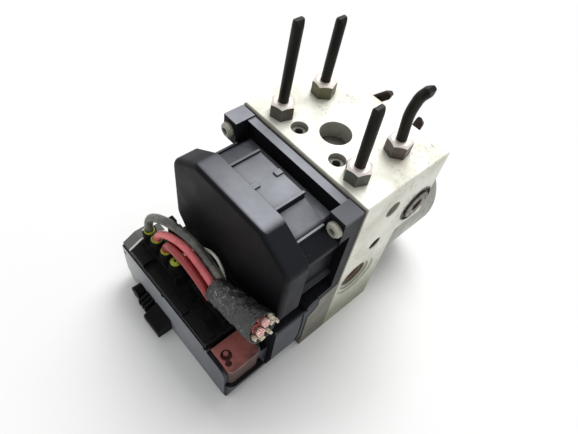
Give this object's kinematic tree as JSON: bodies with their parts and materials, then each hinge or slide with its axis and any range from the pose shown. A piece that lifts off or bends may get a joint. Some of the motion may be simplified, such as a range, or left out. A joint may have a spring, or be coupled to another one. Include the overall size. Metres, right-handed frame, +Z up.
{
  "type": "abs brake module",
  "caption": "Anti-lock brake hydraulic unit with aluminium valve block, pump motor, plastic control unit, cut brake pipes and a cut harness plug with a lock slide.",
  "frame": {"origin": "on the block's standing face, on its centre line, in the plane of the joint face between the block and the control unit", "axes": "+X across the block to its right seen from the control unit, +Y back towards the pump motor along its shaft, +Z up through the pipe ports"},
  "size_m": [0.1126, 0.195, 0.1801],
  "materials": {
    "block_aluminium": "machined, dull and stained",
    "zinc_steel": "dull zinc plating, tarnished",
    "pipe_coating": "black plastic coating on steel pipe",
    "bright_steel": "ground",
    "spring_steel": "drawn wire",
    "rusty_steel": "rusted",
    "cover_metal": "machined, dirty",
    "bright_aluminium": "machined",
    "can_steel": "passivated deep-drawn steel",
    "lamination_steel": "stacked sheet",
    "copper": "enamelled copper",
    "magnet_ferrite": "matt",
    "carbon": "matt",
    "inner_plastic": "moulded",
    "unit_plastic": "moulded, slightly glossy",
    "gasket_rubber": "matt",
    "board": "solder mask",
    "tinned_brass": "tinned",
    "screw_coating": "grey flake coating",
    "plug_plastic": "moulded",
    "red_plastic": "moulded, faded",
    "seal_rubber": "silicone",
    "red_wire": "insulation",
    "dark_wire": "insulation",
    "white_wire": "insulation",
    "tape": "wrinkled tape",
    "cut_copper": "cut strands"
  },
  "bodies": {
    "unit": {"accumulator_covers": "cover_metal", "accumulator_spring_left": "spring_steel", "accumulator_spring_right": "spring_steel", "back_pipe_left": "pipe_coating", "back_pipe_right": "pipe_coating", "brake_pipe_front_left": "pipe_coating", "brake_pipe_front_right": "pipe_coating", "brake_pipe_rear_left": "pipe_coating", "brake_pipe_rear_right": "pipe_coating", "brush_plate": "inner_plastic", "brush_springs": "spring_steel", "brushes": "carbon", "circuit_board": "board", "coil_bobbins": "inner_plastic", "connector_pins": "tinned_brass", "ecu_cover": "unit_plastic", "ecu_gasket": "gasket_rubber", "ecu_housing": "unit_plastic", "ecu_screws": "screw_coating", "front_bearing": "bright_steel", "inlet_valve_bodies": "bright_steel", "magnets": "magnet_ferrite", "motor_can": "can_steel", "motor_screws": "zinc_steel", "outlet_valve_bodies": "bright_steel", "pump_plugs": "rusty_steel", "pump_sleeves": "bright_steel", "pump_spring_left": "spring_steel", "pump_spring_right": "spring_steel", "rear_bearing": "bright_steel", "tube_nuts_back": "zinc_steel", "tube_nuts_top": "zinc_steel", "valve_block": "block_aluminium", "valve_coils": "copper"},
    "rotor": {"motor_shaft": "bright_steel", "eccentric_ring": "bright_steel", "armature_core": "lamination_steel", "armature_windings": "copper", "commutator": "copper"},
    "plug": {"plug_body": "plug_plastic", "wire_seals": "seal_rubber", "wire_red_a": "red_wire", "wire_red_b": "red_wire", "wire_dark": "dark_wire", "wire_white": "white_wire", "tape_wrap": "tape", "wire_ends": "cut_copper"},
    "lock_slide": {"lock_slide": "red_plastic"},
    "pump_piston_right": {"pump_piston_right": "bright_steel"},
    "pump_piston_left": {"pump_piston_left": "bright_steel"},
    "accumulator_piston_right": {"accumulator_piston_right": "bright_aluminium"},
    "accumulator_piston_left": {"accumulator_piston_left": "bright_aluminium"},
    "inlet_plunger_1": {"inlet_plunger_1": "bright_steel"},
    "inlet_plunger_2": {"inlet_plunger_2": "bright_steel"},
    "inlet_plunger_3": {"inlet_plunger_3": "bright_steel"},
    "inlet_plunger_4": {"inlet_plunger_4": "bright_steel"},
    "outlet_plunger_1": {"outlet_plunger_1": "bright_steel"},
    "outlet_plunger_2": {"outlet_plunger_2": "bright_steel"},
    "outlet_plunger_3": {"outlet_plunger_3": "bright_steel"},
    "outlet_plunger_4": {"outlet_plunger_4": "bright_steel"}
  },
  "joints": [
    {"name": "rotor_spin", "type": "hinge", "parent": "unit", "child": "rotor", "pos_m": [0, 0.07, 0.047], "axis": [0, 1, 0], "continuous": true},
    {"name": "lock_slide_out", "type": "slide", "parent": "unit", "child": "lock_slide", "axis": [1, 0, 0], "range_m": [0, 0.016]},
    {"name": "plug_lift", "type": "slide", "parent": "unit", "child": "plug", "axis": [0, 0, 1], "range_m": [0, 0.0048]},
    {"name": "pump_piston_right_stroke", "type": "slide", "parent": "unit", "child": "pump_piston_right", "axis": [1, 0, 0], "range_m": [0, 0.002], "stiffness_N_per_m": 300, "deforming": ["pump_spring_right"]},
    {"name": "accumulator_right_stroke", "type": "slide", "parent": "unit", "child": "accumulator_piston_right", "axis": [1, 0, 0], "range_m": [0, 0.006], "stiffness_N_per_m": 1000, "deforming": ["accumulator_spring_right"]},
    {"name": "pump_piston_left_stroke", "type": "slide", "parent": "unit", "child": "pump_piston_left", "axis": [-1, 0, 0], "range_m": [0, 0.002], "stiffness_N_per_m": 300, "deforming": ["pump_spring_left"]},
    {"name": "accumulator_left_stroke", "type": "slide", "parent": "unit", "child": "accumulator_piston_left", "axis": [-1, 0, 0], "range_m": [0, 0.006], "stiffness_N_per_m": 1000, "deforming": ["accumulator_spring_left"]},
    {"name": "inlet_valve_1", "type": "slide", "parent": "unit", "child": "inlet_plunger_1", "axis": [0, 1, 0], "range_m": [0, 0.0003], "stiffness_N_per_m": 200},
    {"name": "outlet_valve_1", "type": "slide", "parent": "unit", "child": "outlet_plunger_1", "axis": [0, -1, 0], "range_m": [0, 0.0003], "stiffness_N_per_m": 200},
    {"name": "inlet_valve_2", "type": "slide", "parent": "unit", "child": "inlet_plunger_2", "axis": [0, 1, 0], "range_m": [0, 0.0003], "stiffness_N_per_m": 200},
    {"name": "outlet_valve_2", "type": "slide", "parent": "unit", "child": "outlet_plunger_2", "axis": [0, -1, 0], "range_m": [0, 0.0003], "stiffness_N_per_m": 200},
    {"name": "inlet_valve_3", "type": "slide", "parent": "unit", "child": "inlet_plunger_3", "axis": [0, 1, 0], "range_m": [0, 0.0003], "stiffness_N_per_m": 200},
    {"name": "outlet_valve_3", "type": "slide", "parent": "unit", "child": "outlet_plunger_3", "axis": [0, -1, 0], "range_m": [0, 0.0003], "stiffness_N_per_m": 200},
    {"name": "inlet_valve_4", "type": "slide", "parent": "unit", "child": "inlet_plunger_4", "axis": [0, 1, 0], "range_m": [0, 0.0003], "stiffness_N_per_m": 200},
    {"name": "outlet_valve_4", "type": "slide", "parent": "unit", "child": "outlet_plunger_4", "axis": [0, -1, 0], "range_m": [0, 0.0003], "stiffness_N_per_m": 200}
  ],
  "couplings": [
    {"joint": "plug_lift", "follows": "lock_slide_out", "ratio": 0.3}
  ]
}
